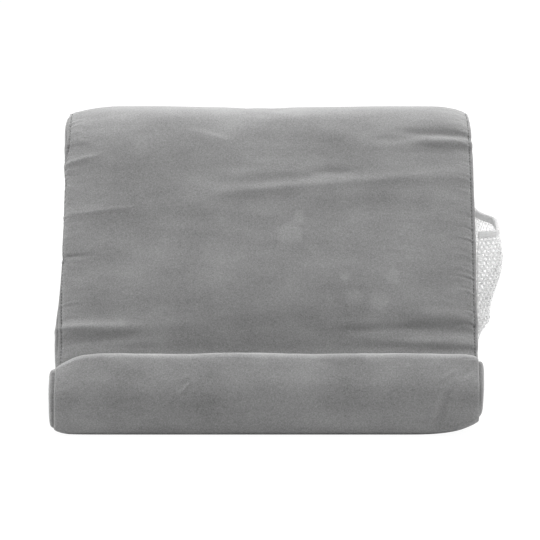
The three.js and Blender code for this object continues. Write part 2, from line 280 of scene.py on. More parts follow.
def newMaterial(name):
    material = bpy.data.materials.new(name)
    material.use_nodes = True
    return material, material.node_tree, material.node_tree.nodes["Principled BSDF"]


coverFinish = {
    "grey": 0.274, "cloudShare": 0.46, "grainShare": 1.1,
    "edgeScale": 170.0, "edgeDetail": 2.0, "edgeRoughness": 0.6, "edgeWander": 7 * mm,
    "spotCore": 0.55, "patchCore": 0.1,                # share of the radius at full strength
    "bump": 0.25, "bumpDepth": 0.2 * mm,
    "roughness": 0.95, "specular": 0.15, "sheen": 0.35, "sheenRoughness": 0.45,
}

# Lighter spots where the nap was brushed the other way, broad darker patches on the wedge, and painted
# shade along the lower front of the roll: place on the cover, radius and strength
napSpotsAndPaintedShade = [
    {"place": (15.5, 4, 113), "radius": 12, "strength": 0.17},
    {"place": (21.5, 11, 125), "radius": 7, "strength": 0.15},
    {"place": (54.5, -12, 86), "radius": 7, "strength": 0.17},
    {"place": (88, -12, 86), "radius": 7.5, "strength": 0.15},
    {"place": (60, -20, 73), "radius": 9, "strength": 0.16},
    {"place": (78, -22, 71), "radius": 9.5, "strength": 0.12},
    {"place": (43.5, -22, 71), "radius": 6, "strength": 0.11},
    {"place": (40, 42, 173), "radius": 32, "strength": -0.08},
    {"place": (-92, 39, 170), "radius": 10, "strength": 0.07},
    {"place": (71, -88, 51), "radius": 9, "strength": 0.12},
    {"place": (-112, 6, 116), "radius": 52, "strength": -0.06},
    {"place": (-70, 6, 116), "radius": 44, "strength": -0.05},
    {"place": (-2, -4, 100), "radius": 44, "strength": -0.05},
    {"place": (38, 4, 113), "radius": 34, "strength": -0.06},
    {"place": (50, -12, 86), "radius": 52, "strength": -0.04},
    # painted shade: darker patches along the lower front of the roll
    {"place": (-45, -105, 28), "radius": 24, "strength": -0.11},
    {"place": (-1, -106, 27), "radius": 32, "strength": -0.11},
    {"place": (-136, -104, 33), "radius": 21, "strength": -0.12},
    {"place": (-96, -105, 31), "radius": 28, "strength": -0.10},
    {"place": (51, -104, 33), "radius": 32, "strength": -0.11},
    {"place": (100, -104, 33), "radius": 28, "strength": -0.09},
]


def greyFromTone(tree, shader, tone, grey):
    colour = addNode(tree, "ShaderNodeVectorMath", operation="SCALE")
    colour.inputs[0].default_value = (grey, grey, grey)
    tree.links.new(tone, colour.inputs["Scale"])
    tree.links.new(colour.outputs["Vector"], shader.inputs["Base Color"])


def bumpFrom(tree, shader, height, finish):
    bump = addNode(tree, "ShaderNodeBump", {"Strength": finish["bump"], "Distance": finish["bumpDepth"]})
    tree.links.new(height, bump.inputs["Height"])
    tree.links.new(bump.outputs["Normal"], shader.inputs["Normal"])


def makeCoverMaterial(name, finish):
    material, tree, shader = newMaterial(name)
    place = addNode(tree, "ShaderNodeTexCoord").outputs["Object"]
    napNode = addNode(tree, "ShaderNodeGroup", node_tree=napGroup)
    napNode.inputs["Cloud Share"].default_value = finish["cloudShare"]
    napNode.inputs["Grain Share"].default_value = finish["grainShare"]
    tree.links.new(place, napNode.inputs["Place"])
    tone = napNode.outputs["Tone"]
    wander = addNode(tree, "ShaderNodeTexNoise", {
        "Scale": finish["edgeScale"], "Detail": finish["edgeDetail"], "Roughness": finish["edgeRoughness"]})
    tree.links.new(place, wander.inputs["Vector"])
    spread = addNode(tree, "ShaderNodeVectorMath", operation="MULTIPLY_ADD")   # uneven edges of the spots
    tree.links.new(wander.outputs["Color"], spread.inputs[0])
    spread.inputs[1].default_value = Vector((1, 1, 1)) * finish["edgeWander"]
    tree.links.new(place, spread.inputs[2])
    for spot in napSpotsAndPaintedShade:
        radius = spot["radius"] * mm
        core = finish["spotCore"] if spot["strength"] > 0 else finish["patchCore"]
        reach = addNode(tree, "ShaderNodeVectorMath", operation="DISTANCE")
        tree.links.new(spread.outputs["Vector"], reach.inputs[0])
        middle = Vector((1, 1, 1)) * 0.5 * finish["edgeWander"]   # the noise wanders about a half
        reach.inputs[1].default_value = Vector(spot["place"]) * mm + middle
        fade = addNode(tree, "ShaderNodeMapRange", interpolation_type="SMOOTHSTEP")
        tree.links.new(reach.outputs["Value"], fade.inputs["Value"])
        fade.inputs["From Min"].default_value = radius
        fade.inputs["From Max"].default_value = radius * core
        fade.inputs["To Max"].default_value = spot["strength"]
        tone = math2(tree, "ADD", tone, fade.outputs["Result"])
    greyFromTone(tree, shader, tone, finish["grey"])
    bumpFrom(tree, shader, napNode.outputs["Height"], finish)
    shader.inputs["Roughness"].default_value = finish["roughness"]
    shader.inputs["Specular IOR Level"].default_value = finish["specular"]
    shader.inputs["Sheen Weight"].default_value = finish["sheen"]
    shader.inputs["Sheen Roughness"].default_value = finish["sheenRoughness"]
    return material


yarnFinish = {
    "detail": 2.0, "noiseRoughness": 0.6, "middle": 0.5, "bump": 0.4, "bumpDepth": 0.2 * mm,
    "roughness": 0.85, "specular": 0.2, "scatter": 4.0 * mm,
}
# painted shade: the thread's grey is about half the cover's, standing in for the shade in its needle holes
threadPaintedShadeFinish = {"grey": 0.14, "scale": 2500.0, "share": 0.5, "paintedTopShade": 0.0, "paintedGlow": 0.0}
# paintedGlow is emission: a painted glow on the net and the tape
netFinish = {"grey": 0.88, "scale": 1800.0, "share": 0.1, "paintedTopShade": 0.0, "paintedGlow": 0.11}
# the tape's paintedTopShade darkens its upward-facing side as painted shade
tapeFinish = {"grey": 0.5, "scale": 400.0, "share": 0.45, "paintedTopShade": 0.4, "paintedGlow": 0.18}


def makeYarnMaterial(name, finish, common):
    material, tree, shader = newMaterial(name)
    coordinates = addNode(tree, "ShaderNodeTexCoord")
    place = coordinates.outputs["Object"]
    twist = noiseAt(tree, place, finish["scale"], common["detail"], common["noiseRoughness"])
    uneven = math2(tree, "MULTIPLY", math2(tree, "SUBTRACT", twist, common["middle"]), finish["share"])
    tone = math2(tree, "ADD", uneven, 1.0)
    facing = addNode(tree, "ShaderNodeSeparateXYZ")
    tree.links.new(coordinates.outputs["Normal"], facing.inputs["Vector"])
    upward = math2(tree, "MAXIMUM", facing.outputs["Z"], 0.0)
    paintedUpperShade = math2(tree, "MULTIPLY", upward, finish["paintedTopShade"])   # painted shade: the upward-facing side is darkened
    tone = math2(tree, "SUBTRACT", tone, paintedUpperShade)
    greyFromTone(tree, shader, tone, finish["grey"])
    bumpFrom(tree, shader, twist, common)
    shader.inputs["Roughness"].default_value = common["roughness"]
    shader.inputs["Specular IOR Level"].default_value = common["specular"]
    if finish["paintedGlow"] > 0:   # subsurface scattering lets light through the thin pale cloth, and the emission adds a painted glow on top of it
        shader.inputs["Subsurface Weight"].default_value = 1.0
        shader.inputs["Subsurface Radius"].default_value = (1, 1, 1)
        shader.inputs["Subsurface Scale"].default_value = common["scatter"]
        shader.inputs["Emission Color"].default_value = (1, 1, 1, 1)
        shader.inputs["Emission Strength"].default_value = finish["paintedGlow"]
    return material


coverCloth = makeCoverMaterial("coverCloth", coverFinish)
stitchThread = makeYarnMaterial("stitchThread", threadPaintedShadeFinish, yarnFinish)
netYarn = makeYarnMaterial("netYarn", netFinish, yarnFinish)
tapeCloth = makeYarnMaterial("tapeCloth", tapeFinish, yarnFinish)
print("finishes ready")


# The wedge cushion

wedgeSizes = {
    "seamHalf": 146 * mm,
    "footY": -65 * mm,
    "slope": math.radians(58.5),
    "topCentre": (76.3 * mm, 154 * mm),
    "topRadius": 40 * mm,
    "faceOut": (-34 * mm, -22 * mm),     # how far behind the plane of the face its rounding fades out
    "faceFoot": (2 * mm, 8 * mm),
    "seamHold": (2 * mm, 6 * mm),        # held by the seam, by the floor and by the roll in the simulation
    "floorHold": (1 * mm, 6 * mm),
    "rollHold": (41 * mm, 56 * mm),
    "fullBand": (12 * mm, 26 * mm),      # extra cloth beside the seams
    "fineBand": 12 * mm,                 # finer mesh beside the seams
    "fineOver": 1.5 * mm,
    "fineFoot": 3 * mm,
    "fineBack": 100 * mm,                # behind this the seams have the plainer mesh
    "offFloor": (1 * mm, 10 * mm),
    "rollClear": (41 * mm, 54 * mm),
    "unevenness": 0.45 * mm,
    "hollows": (24.0, 1), "smallHollows": (60.0, 2), "smallShare": 0.6,   # scale and seed
    "topRange": (165 * mm, 188 * mm), "topCalm": 0.85,
    "topFill": 2.1 * mm, "fillRange": (148 * mm, 190 * mm), "fillHalf": (70 * mm, 155 * mm),
    "creaseFade": 0.35,
    "seed": 11,
}
seamSizes = {
    "ringSlack": 1.6 * mm,               # how far the corner ring of a side panel is pulled in
    "ringOver": 0.5 * mm,
    "ringMiddle": 0.36,
    "ringCount": 1600,
    "plainStitch": -1.6 * mm,            # off the face
    "reach": 110 * mm,                   # points nearer to the middle aren't measured
    "farOff": 100 * mm,
    "bandWidth": 3.0 * mm,               # stitch line to seam
    "grooveDepth": 0.5 * mm, "grooveHalf": 0.9 * mm,
    "bandLift": 0.4 * mm, "bandMiddle": 0.55, "bandHalf": 0.4,
    "creviceDepth": 1.0 * mm, "creviceHalf": 0.9 * mm,
    "offFloor": (2 * mm, 9 * mm),
    "puckerHeight": 0.28 * mm,
    "puckerKnots": 110, "puckerReach": (2.5, 12), "puckerPower": (0.2, 1.0), "puckerEnd": 2.5 * mm,
    "slantReach": 7 * mm, "slantShare": 0.5,
    "pitches": [(3.3 * mm, 0.4), (5.1 * mm, 0.9), (8.6 * mm, 1.0)],
    "driftKnots": 60, "driftTurns": 1.5, "phaseSpan": 6.28,
}
wedgeSwell = {
    "startSmaller": 0.5 * mm, "cap": 4 * mm, "pressure": 8.0, "frames": 20, "steps": 5,
    "clothMass": 0.3, "stretch": 30.0, "shear": 10.0, "bend": 0.5, "hold": 0.06,
    "fullness": 0.015, "filled": 0.5 * mm, "jitter": 0.15 * mm, "seed": 5,
}

# Where the top stitching runs up the face, from the corner of the side panel: below zero it is on the wrap
stitchOffsets = {
    -1: [(30, -1.5), (58, -1.5), (80, -0.4), (100, 0.4), (190, 0.5), (203, -2.2), (290, -2.2)],
    1: [(30, -1.6), (290, -1.6)],
}

# Finer creases of the face, beside the main folds that the solid already has
faceCreases = [
    {"startX": -64, "endX": -20, "startUp": 216, "endUp": 201, "height": 0.35, "halfWidth": 1.5},
    {"startX": -64, "endX": -20, "startUp": 213, "endUp": 198, "height": 0.4, "halfWidth": 4.0},
    {"startX": 80, "endX": 160, "startUp": 211.5, "endUp": 210, "height": -1.0, "halfWidth": 3.0},
    {"startX": 104, "endX": 160, "startUp": 205, "endUp": 204.5, "height": 0.4, "halfWidth": 2.6},
    {"startX": 64, "endX": 116, "startUp": 205, "endUp": 205, "height": -0.7, "halfWidth": 3.5},
    {"startX": 92, "endX": 160, "startUp": 199.5, "endUp": 199, "height": -0.4, "halfWidth": 3.0},
    {"startX": -54, "endX": 140, "startUp": 163, "endUp": 179, "height": 1.0, "halfWidth": 4.0},
    {"startX": -80, "endX": 150, "startUp": 156, "endUp": 168, "height": 0.7, "halfWidth": 10.0},
    {"startX": 26, "endX": 66, "startUp": 179.5, "endUp": 180, "height": -1.0, "halfWidth": 3.2},
    {"startX": -26, "endX": 30, "startUp": 186, "endUp": 187, "height": 0.45, "halfWidth": 4.0},
    {"startX": -160, "endX": -112, "startUp": 184, "endUp": 196, "height": 0.7, "halfWidth": 2.0},
    {"startX": -160, "endX": -120, "startUp": 201, "endUp": 206, "height": 0.3, "halfWidth": 1.6},
    {"startX": -160, "endX": -84, "startUp": 147, "endUp": 154.5, "height": 0.45, "halfWidth": 1.5},
    {"startX": -160, "endX": -118, "startUp": 116.5, "endUp": 118.5, "height": -0.6, "halfWidth": 1.6},
    {"startX": -160, "endX": -112, "startUp": 64, "endUp": 66, "height": 0.7, "halfWidth": 2.2},
    {"startX": 66, "endX": 122, "startUp": 123.5, "endUp": 118, "height": 0.15, "halfWidth": 1.2},
    {"startX": 84, "endX": 160, "startUp": 63.5, "endUp": 62, "height": -0.9, "halfWidth": 4.5},
    {"startX": 88, "endX": 160, "startUp": 72, "endUp": 71, "height": 0.9, "halfWidth": 5.0},
    {"startX": 92, "endX": 160, "startUp": 55.5, "endUp": 55.5, "height": -0.5, "halfWidth": 4.5},
    {"startX": 96, "endX": 160, "startUp": 48, "endUp": 48, "height": -1.4, "halfWidth": 4.0},
]


def alongFace(points, sizes):
    behind = points[:, 1] - sizes["footY"]
    up = behind * math.cos(sizes["slope"]) + points[:, 2] * math.sin(sizes["slope"])
    out = points[:, 2] * math.cos(sizes["slope"]) - behind * math.sin(sizes["slope"])
    topY, topZ = sizes["topCentre"]
    topUp = (topY - sizes["footY"]) * math.cos(sizes["slope"]) + topZ * math.sin(sizes["slope"])
    turned = np.arctan2(up - topUp, out + sizes["topRadius"])   # carried on round the top edge
    up = np.where(up > topUp, topUp + sizes["topRadius"] * turned, up)
    onFace = ease(out, *sizes["faceOut"]) * ease(points[:, 2], *sizes["faceFoot"])
    return up, onFace


def creaseHeights(points, creases, sizes):
    up, onFace = alongFace(points, sizes)
    x = points[:, 0]
    height = np.zeros(len(points))
    for crease in creases:
        startX, endX = crease["startX"] * mm, crease["endX"] * mm
        fade = sizes["creaseFade"] * (endX - startX)
        reach = ease(x, startX, startX + fade) * (1 - ease(x, endX - fade, endX))
        line = np.interp(x, [startX, endX], [crease["startUp"] * mm, crease["endUp"] * mm])
        height += crease["height"] * mm * reach * bell(up - line, crease["halfWidth"] * mm)
    return height * onFace


def cornerRing(piece, side, sizes, seam):
    points = readPoints(piece)
    count = seam["ringCount"]
    outward = points[:, 0] * side
    low, high = sizes["seamHalf"] - seam["ringSlack"], sizes["seamHalf"] + seam["ringOver"]
    ring = points[(outward < high) & (outward > low)]
    middle = 0.5 * (ring.min(axis=0) + ring.max(axis=0))
    middle[2] = seam["ringMiddle"] * ring[:, 2].max()
    ring = ring[np.argsort(np.arctan2(ring[:, 2] - middle[2], ring[:, 1] - middle[1]))]
    ring = np.vstack([ring, ring[:1]])
    length = np.concatenate([[0], np.cumsum(np.linalg.norm(np.diff(ring, axis=0), axis=1))])
    along = np.linspace(0, length[-1], count)
    line = np.column_stack([np.interp(along, length, ring[:, axis]) for axis in range(3)])
    run = np.gradient(line, axis=0)
    inward = np.column_stack([np.zeros(count), -run[:, 2], run[:, 1]])   # across the panel from its edge
    inward /= np.linalg.norm(inward, axis=1)[:, None]
    up, onFace = alongFace(line, sizes)
    table = np.array(stitchOffsets[side]) * mm
    offset = np.where(onFace > 0.5, np.interp(up, table[:, 0], table[:, 1]), seam["plainStitch"])
    return {"side": side, "line": line, "along": along, "inward": inward, "stitch": offset}


def acrossSeam(points, ring, seam):
    tree = KDTree(len(ring["line"]))
    for index, place in enumerate(ring["line"]):
        tree.insert(place, index)
    tree.balance()
    nearest = np.zeros(len(points), int)
    signed = np.full(len(points), -seam["farOff"])
    for index in np.nonzero(points[:, 0] * ring["side"] > seam["reach"])[0]:
        _, at, distance = tree.find(points[index])
        overPanel = (points[index] - ring["line"][at]) @ ring["inward"][at]
        onWrap = (ring["line"][at][0] - points[index][0]) * ring["side"]
        nearest[index] = at
        signed[index] = distance if overPanel > onWrap else -distance
    return nearest, signed


def ripples(along, rng, seam):
    total = np.zeros(len(along))
    span = np.linspace(along.min(), along.max(), seam["driftKnots"])
    drift = rng.uniform(0, 1, len(span))
    for pitch, share in seam["pitches"]:
        phase = 2 * math.pi * (along / pitch + np.interp(along, span, drift) * seam["driftTurns"])
        total += share * np.sin(phase + rng.uniform(0, seam["phaseSpan"]))
    return total


def seamMoves(points, ring, seam, rng):
    nearest, signed = acrossSeam(points, ring, seam)
    along = ring["along"][nearest]
    fromStitch = signed - ring["stitch"][nearest]
    onWrap = np.minimum(fromStitch, 0)
    band = seam["bandWidth"]
    move = -seam["grooveDepth"] * bell(fromStitch, seam["grooveHalf"])
    move += seam["bandLift"] * bell(fromStitch - seam["bandMiddle"] * band, seam["bandHalf"] * band)
    move -= seam["creviceDepth"] * bell(fromStitch - band, seam["creviceHalf"])
    knots = np.linspace(0, ring["along"][-1], seam["puckerKnots"])
    reach = np.interp(along, knots, rng.uniform(*seam["puckerReach"], len(knots))) * mm
    power = np.interp(along, knots, rng.uniform(*seam["puckerPower"], len(knots)))
    rising = 1 - np.exp(onWrap / seam["slantReach"])   # the puckers rise from the seam
    slant = along + seam["slantShare"] * seam["slantReach"] * rising
    wave = ripples(slant, rng, seam)
    fade = np.exp(onWrap / reach) * (1 - ease(fromStitch, 0, seam["puckerEnd"]))
    return (move + seam["puckerHeight"] * wave * fade * power) * ease(points[:, 2], *seam["offFloor"])


def refineWhere(piece, wanted, cuts):
    pickOnly(piece)
    bpy.ops.object.mode_set(mode="EDIT")
    bpy.ops.mesh.select_mode(type="FACE")
    bpy.ops.mesh.select_all(action="DESELECT")
    leaveEdit()
    for face in piece.data.polygons:
        face.select = bool(wanted(face.center))
    bpy.ops.object.mode_set(mode="EDIT")
    bpy.ops.mesh.subdivide(number_cuts=cuts, smoothness=0)
    leaveEdit()


def makeWedge(sizes, seam):
    piece = copyOfNode("wedge_cushion", "wedgeCover")
    rings = [cornerRing(piece, side, sizes, seam) for side in (-1, 1)]
    subdivideOnce(piece)
    points = readPoints(piece)
    fromSeam = np.abs(np.abs(points[:, 0]) - sizes["seamHalf"])
    pinned = np.maximum(1 - ease(fromSeam, *sizes["seamHold"]), 1 - ease(points[:, 2], *sizes["floorHold"]))
    up, onFace = alongFace(points, sizes)
    pinned = np.maximum(pinned, onFace * (1 - ease(up, *sizes["rollHold"])))   # where the roll leans on it
    full = (1 - ease(fromSeam, *sizes["fullBand"])) * (np.abs(points[:, 0]) < sizes["seamHalf"])
    swell(piece, pinned, full, wedgeSwell)
    subdivideOnce(piece)

    def besideSeam(centre):
        inner, outer = sizes["seamHalf"] - sizes["fineBand"], sizes["seamHalf"] + sizes["fineOver"]
        beside = inner < abs(centre.x) < outer
        shown = centre.y < sizes["fineBack"] or centre.z > sizes["topCentre"][1]
        return beside and centre.z > sizes["fineFoot"] and shown

    refineWhere(piece, besideSeam, 1)
    points, normals = readPoints(piece), readNormals(piece)
    x, z = points[:, 0], points[:, 2]
    up, onFace = alongFace(points, sizes)
    clearOfRoll = 1 - onFace * (1 - ease(up, *sizes["rollClear"]))
    uneven = cloudAt(points, *sizes["hollows"])
    uneven += sizes["smallShare"] * cloudAt(points, *sizes["smallHollows"])
    calm = 1 - sizes["topCalm"] * ease(z, *sizes["topRange"])
    move = sizes["unevenness"] * uneven * ease(z, *sizes["offFloor"]) * clearOfRoll * calm
    move += creaseHeights(points, faceCreases, sizes)
    move += sizes["topFill"] * ease(z, *sizes["fillRange"]) * (1 - ease(np.abs(x), *sizes["fillHalf"]))
    rng = np.random.default_rng(sizes["seed"])
    surface = surfaceOf(piece)
    for ring in rings:
        ring["line"] = np.array([surface.find_nearest(Vector(place))[0] for place in ring["line"]])
        move += seamMoves(points, ring, seam, rng) * clearOfRoll
    writePoints(piece, points + normals * move[:, None])
    piece.data.materials.append(coverCloth)
    return piece, rings


wedgeCover, wedgeRings = makeWedge(wedgeSizes, seamSizes)
print("wedge cushion ready,", len(wedgeCover.data.polygons), "faces")


# Top stitching along both side seams of the wedge

stitchSizes = {
    "pitch": 2.35 * mm, "length": 1.7 * mm, "width": 0.68 * mm, "height": 0.5 * mm,
    "slant": math.radians(14), "segments": 6, "rings": 5,
    "lift": 0.1 * mm, "lookAhead": 1 * mm, "evenOver": 13,
    "lowest": 2.5 * mm,   # none under the cushion, where it lies on the floor
}


def modelStitch(sizes):
    bpy.ops.object.select_all(action="DESELECT")
    bpy.ops.mesh.primitive_uv_sphere_add(segments=sizes["segments"], ring_count=sizes["rings"], radius=0.5)
    stitch = bpy.context.active_object
    stitch.scale = (sizes["length"], sizes["width"], sizes["height"])
    bpy.ops.object.transform_apply(location=False, rotation=False, scale=True)
    editAll(stitch)
    bpy.ops.mesh.tris_convert_to_quads()
    leaveEdit()
    return stitch


def copiesJoined(model, places, name, material):
    base = readPoints(model)
    faces = [tuple(face.vertices) for face in model.data.polygons]
    points, joined = [], []
    for place in places:
        shift = len(points)
        turned = np.array(place)
        points.extend(base @ turned[:3, :3].T + turned[:3, 3])
        joined.extend(tuple(index + shift for index in face) for face in faces)
    mesh = bpy.data.meshes.new(name)
    mesh.from_pydata([tuple(p) for p in points], [], joined)
    mesh.materials.append(material)
    piece = bpy.data.objects.new(name, mesh)
    scene.collection.objects.link(piece)
    pickOnly(piece)
    bpy.ops.object.shade_smooth()
    return piece


def evened(line, window):
    ends = window // 2
    closed = np.vstack([line[-ends - 1:-1], line, line[1:ends + 1]])
    return np.column_stack([np.convolve(column, np.ones(window) / window, "valid") for column in closed.T])


def stitchRow(piece, ring, sizes, name):
    surface = surfaceOf(piece)
    offset = ring["stitch"]
    target = ring["line"] + ring["inward"] * np.maximum(offset, 0)[:, None]
    target[:, 0] += ring["side"] * np.minimum(offset, 0)
    found = [surface.find_nearest(Vector(place)) for place in target]
    line = evened(np.array([place for place, _, _, _ in found]), sizes["evenOver"])
    normals = evened(np.array([normal for _, normal, _, _ in found]), sizes["evenOver"])
    length = np.concatenate([[0], np.cumsum(np.linalg.norm(np.diff(line, axis=0), axis=1))])

    def rowAt(table, distance):
        return Vector([np.interp(distance, length, column) for column in table.T])

    places = []
    for distance in np.arange(0, length[-1] - sizes["pitch"], sizes["pitch"]):
        here, ahead = rowAt(line, distance), rowAt(line, distance + sizes["lookAhead"])
        normal = rowAt(normals, distance)
        if here.z < sizes["lowest"]:
            continue
        side = normal.cross(ahead - here).normalized()
        turn = Matrix((side.cross(normal).normalized(), side, normal.normalized())).transposed()
        turn = turn @ Matrix.Rotation(sizes["slant"], 3, "Z")
        places.append(Matrix.Translation(here + normal * sizes["lift"]) @ turn.to_4x4())
    stitch = modelStitch(sizes)
    row = copiesJoined(stitch, places, name, stitchThread)
    bpy.data.objects.remove(stitch)
    print(name, "has", len(places), "stitches")
    return row


topStitches = [
    stitchRow(wedgeCover, wedgeRings[0], stitchSizes, "topStitchLeft"),
    stitchRow(wedgeCover, wedgeRings[1], stitchSizes, "topStitchRight"),
]


# The ledge roll

rollSizes = {
    "seamHalf": 144 * mm,
    "middleX": -1 * mm,
    "seamHold": (1.5 * mm, 6 * mm),      # held by the seam, by the floor and by the face in the simulation
    "floorHold": (1 * mm, 5 * mm),
    "faceHold": (2 * mm, 7 * mm),
    "fullBand": (8 * mm, 20 * mm),       # extra cloth beside the seams
    "fineDepth": 24 * mm, "fineFoot": 1 * mm,        # finer mesh over the whole front
    "creaseDepth": 22 * mm, "creaseFoot": 2 * mm, "creaseBeside": 5,   # and finer again at the creases
    "creaseFade": (26 * mm, 16 * mm),
    "offFloor": (1 * mm, 8 * mm),
    "unevenness": 0.45 * mm,
    "hollows": (22.0, 3), "smallHollows": (55.0, 4), "smallShare": 0.5,   # scale and seed
    "rimRange": (42 * mm, 49 * mm), "rimUnevenness": 0.3 * mm, "rimHollows": (110.0, 5),
    "endFill": 0.8 * mm, "endPlace": 3 * mm, "endHalf": 3 * mm,
    "creviceDepth": 1.6 * mm, "crevicePlace": 0.2 * mm, "creviceHalf": 1.0 * mm,
}
rollSwell = {
    "startSmaller": 0.4 * mm, "cap": 4 * mm, "pressure": 8.0, "frames": 20, "steps": 5,
    "clothMass": 0.3, "stretch": 30.0, "shear": 10.0, "bend": 0.5, "hold": 0.25,
    "fullness": 0.015, "filled": 0.3 * mm, "jitter": 0.1 * mm, "seed": 6,
}

# Faint creases of the roll: two ends of each on its front, height and half width
rollCreases = [
    {"start": (-49, 39), "end": (-62, 26), "height": 0.6, "halfWidth": 1.3},
    {"start": (-53, 41), "end": (-60, 35), "height": 0.35, "halfWidth": 1.3},
    {"start": (123, 34), "end": (112, 2), "height": -1.3, "halfWidth": 1.7},
    {"start": (119, 35), "end": (108, 3), "height": 0.8, "halfWidth": 2.0},
    {"start": (133, 36), "end": (126, 12), "height": 0.7, "halfWidth": 1.8},
    {"start": (127, 44), "end": (113, 36), "height": 0.35, "halfWidth": 1.6},
    {"start": (139, 45), "end": (128, 38), "height": -0.35, "halfWidth": 1.6},
]


def clearOfFace(points, wedge, sizes):
    behind = points[:, 1] - wedge["footY"]
    out = points[:, 2] * math.cos(wedge["slope"]) - behind * math.sin(wedge["slope"])
    return ease(out, *sizes["faceHold"])


def rollCreaseHeights(points, creases):
    height = np.zeros(len(points))
    for crease in creases:
        start, end = np.array(crease["start"]) * mm, np.array(crease["end"]) * mm
        flat = points[:, [0, 2]] - start
        run = end - start
        share = np.clip(flat @ run / (run @ run), 0, 1)
        away = np.linalg.norm(flat - share[:, None] * run, axis=1)
        taper = 1 - (2 * share - 1) ** 2
        height += crease["height"] * mm * bell(away, crease["halfWidth"] * mm) * taper
    return height


def makeRoll(sizes, wedge):
    piece = copyOfNode("ledge_roll", "ledgeCover")
    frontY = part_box("ledge_roll")[0].y
    subdivideOnce(piece)
    points = readPoints(piece)
    fromSeam = np.abs(np.abs(points[:, 0] - sizes["middleX"]) - sizes["seamHalf"])
    pinned = np.maximum(1 - ease(fromSeam, *sizes["seamHold"]), 1 - ease(points[:, 2], *sizes["floorHold"]))
    pinned = np.maximum(pinned, 1 - clearOfFace(points, wedge, sizes))
    full = 1 - ease(fromSeam, *sizes["fullBand"])
    swell(piece, pinned, full, rollSwell)
    subdivideOnce(piece)
    spans = []
    for crease in rollCreases:
        ends = crease["start"][0], crease["end"][0]
        spans.append(((min(ends) - sizes["creaseBeside"]) * mm, (max(ends) + sizes["creaseBeside"]) * mm))

    def onFront(centre):
        return centre.y < frontY + sizes["fineDepth"] and centre.z > sizes["fineFoot"]

    def atCrease(centre):
        inSpan = any(left < centre.x < right for left, right in spans)
        return centre.y < frontY + sizes["creaseDepth"] and centre.z > sizes["creaseFoot"] and inSpan

    refineWhere(piece, onFront, 1)
    refineWhere(piece, atCrease, 1)
    points, normals = readPoints(piece), readNormals(piece)
    offFloor = ease(points[:, 2], *sizes["offFloor"])
    clear = clearOfFace(points, wedge, sizes)
    uneven = cloudAt(points, *sizes["hollows"])
    uneven += sizes["smallShare"] * cloudAt(points, *sizes["smallHollows"])
    move = sizes["unevenness"] * uneven * offFloor * clear
    atRim = ease(points[:, 2], *sizes["rimRange"]) * clear
    move += sizes["rimUnevenness"] * cloudAt(points, *sizes["rimHollows"]) * atRim
    inward = sizes["seamHalf"] - np.abs(points[:, 0] - sizes["middleX"])
    move += sizes["endFill"] * bell(inward - sizes["endPlace"], sizes["endHalf"]) * atRim
    crevice = bell(inward - sizes["crevicePlace"], sizes["creviceHalf"])
    move -= sizes["creviceDepth"] * crevice * offFloor * clear
    fadeFrom, fadeTo = sizes["creaseFade"]
    front = ease(-points[:, 1], -(frontY + fadeFrom), -(frontY + fadeTo))
    move += rollCreaseHeights(points, rollCreases) * front
    writePoints(piece, points + normals * move[:, None])
    piece.data.materials.append(coverCloth)
    return piece


ledgeCover = makeRoll(rollSizes, wedgeSizes)
print("ledge roll ready,", len(ledgeCover.data.polygons), "faces")


# The net pocket on the right-hand side panel

pocketSizes = {
    "bottom": {"z": 14 * mm, "frontY": -19 * mm, "rearY": 107 * mm},
    "mouth": {"frontZ": 113.2 * mm, "rearZ": 117.2 * mm, "frontY": 13 * mm, "rearY": 93 * mm},
    "plan": [                     # along the mouth, and the share that it stands off the panel
        (0, 0), (0.012, 0.32), (0.03, 0.66), (0.06, 0.87), (0.11, 0.94), (0.24, 0.98), (0.37, 1),
        (0.45, 0.97), (0.52, 0.84), (0.6, 0.58), (0.7, 0.33), (0.82, 0.18), (0.93, 0.06), (1, 0)],
    "fall": [                     # share of the height, and how far it stands off there in mm
        (0, 0), (0.12, 0.1), (0.22, 0.5), (0.3, 3.4), (0.38, 10.0), (0.46, 10.7), (0.54, 12.9),
        (0.62, 16.0), (0.7, 18.5), (0.78, 20.0), (0.86, 19.7), (0.94, 17.1), (1, 15.3)],
    "gap": 0.6 * mm,
    "tapeRoom": 1.3 * mm, "tapeFrom": (0.86, 0.96),
    "rayFrom": 0.3,               # outside the panel
    "columns": 60, "rows": 30, "justShort": 0.001,   # steps of the table that spaces the net evenly
    "weld": 0.05 * mm,
    "flatBottom": 132 * mm,       # the cut piece, before it is sewn on
    "flatMouth": 100 * mm,
    "flatHeight": 108 * mm,
    "cell": 3.4 * mm,
    "strand": 1.45 * mm,
    "thickness": 0.5 * mm,
    "hem": 3.0 * mm,              # along the bottom
    "sideHem": 0.6 * mm,
}


def smoothTable(rows, places):
    rows = np.array(rows, float)
    slopes = np.gradient(rows[:, 1], rows[:, 0])
    index = np.clip(np.searchsorted(rows[:, 0], places) - 1, 0, len(rows) - 2)
    low, high = rows[index], rows[index + 1]
    width = high[:, 0] - low[:, 0]
    t = (places - low[:, 0]) / width
    return ((2 * t**3 - 3 * t**2 + 1) * low[:, 1] + (t**3 - 2 * t**2 + t) * width * slopes[index]
            + (3 * t**2 - 2 * t**3) * high[:, 1] + (t**3 - t**2) * width * slopes[index + 1])


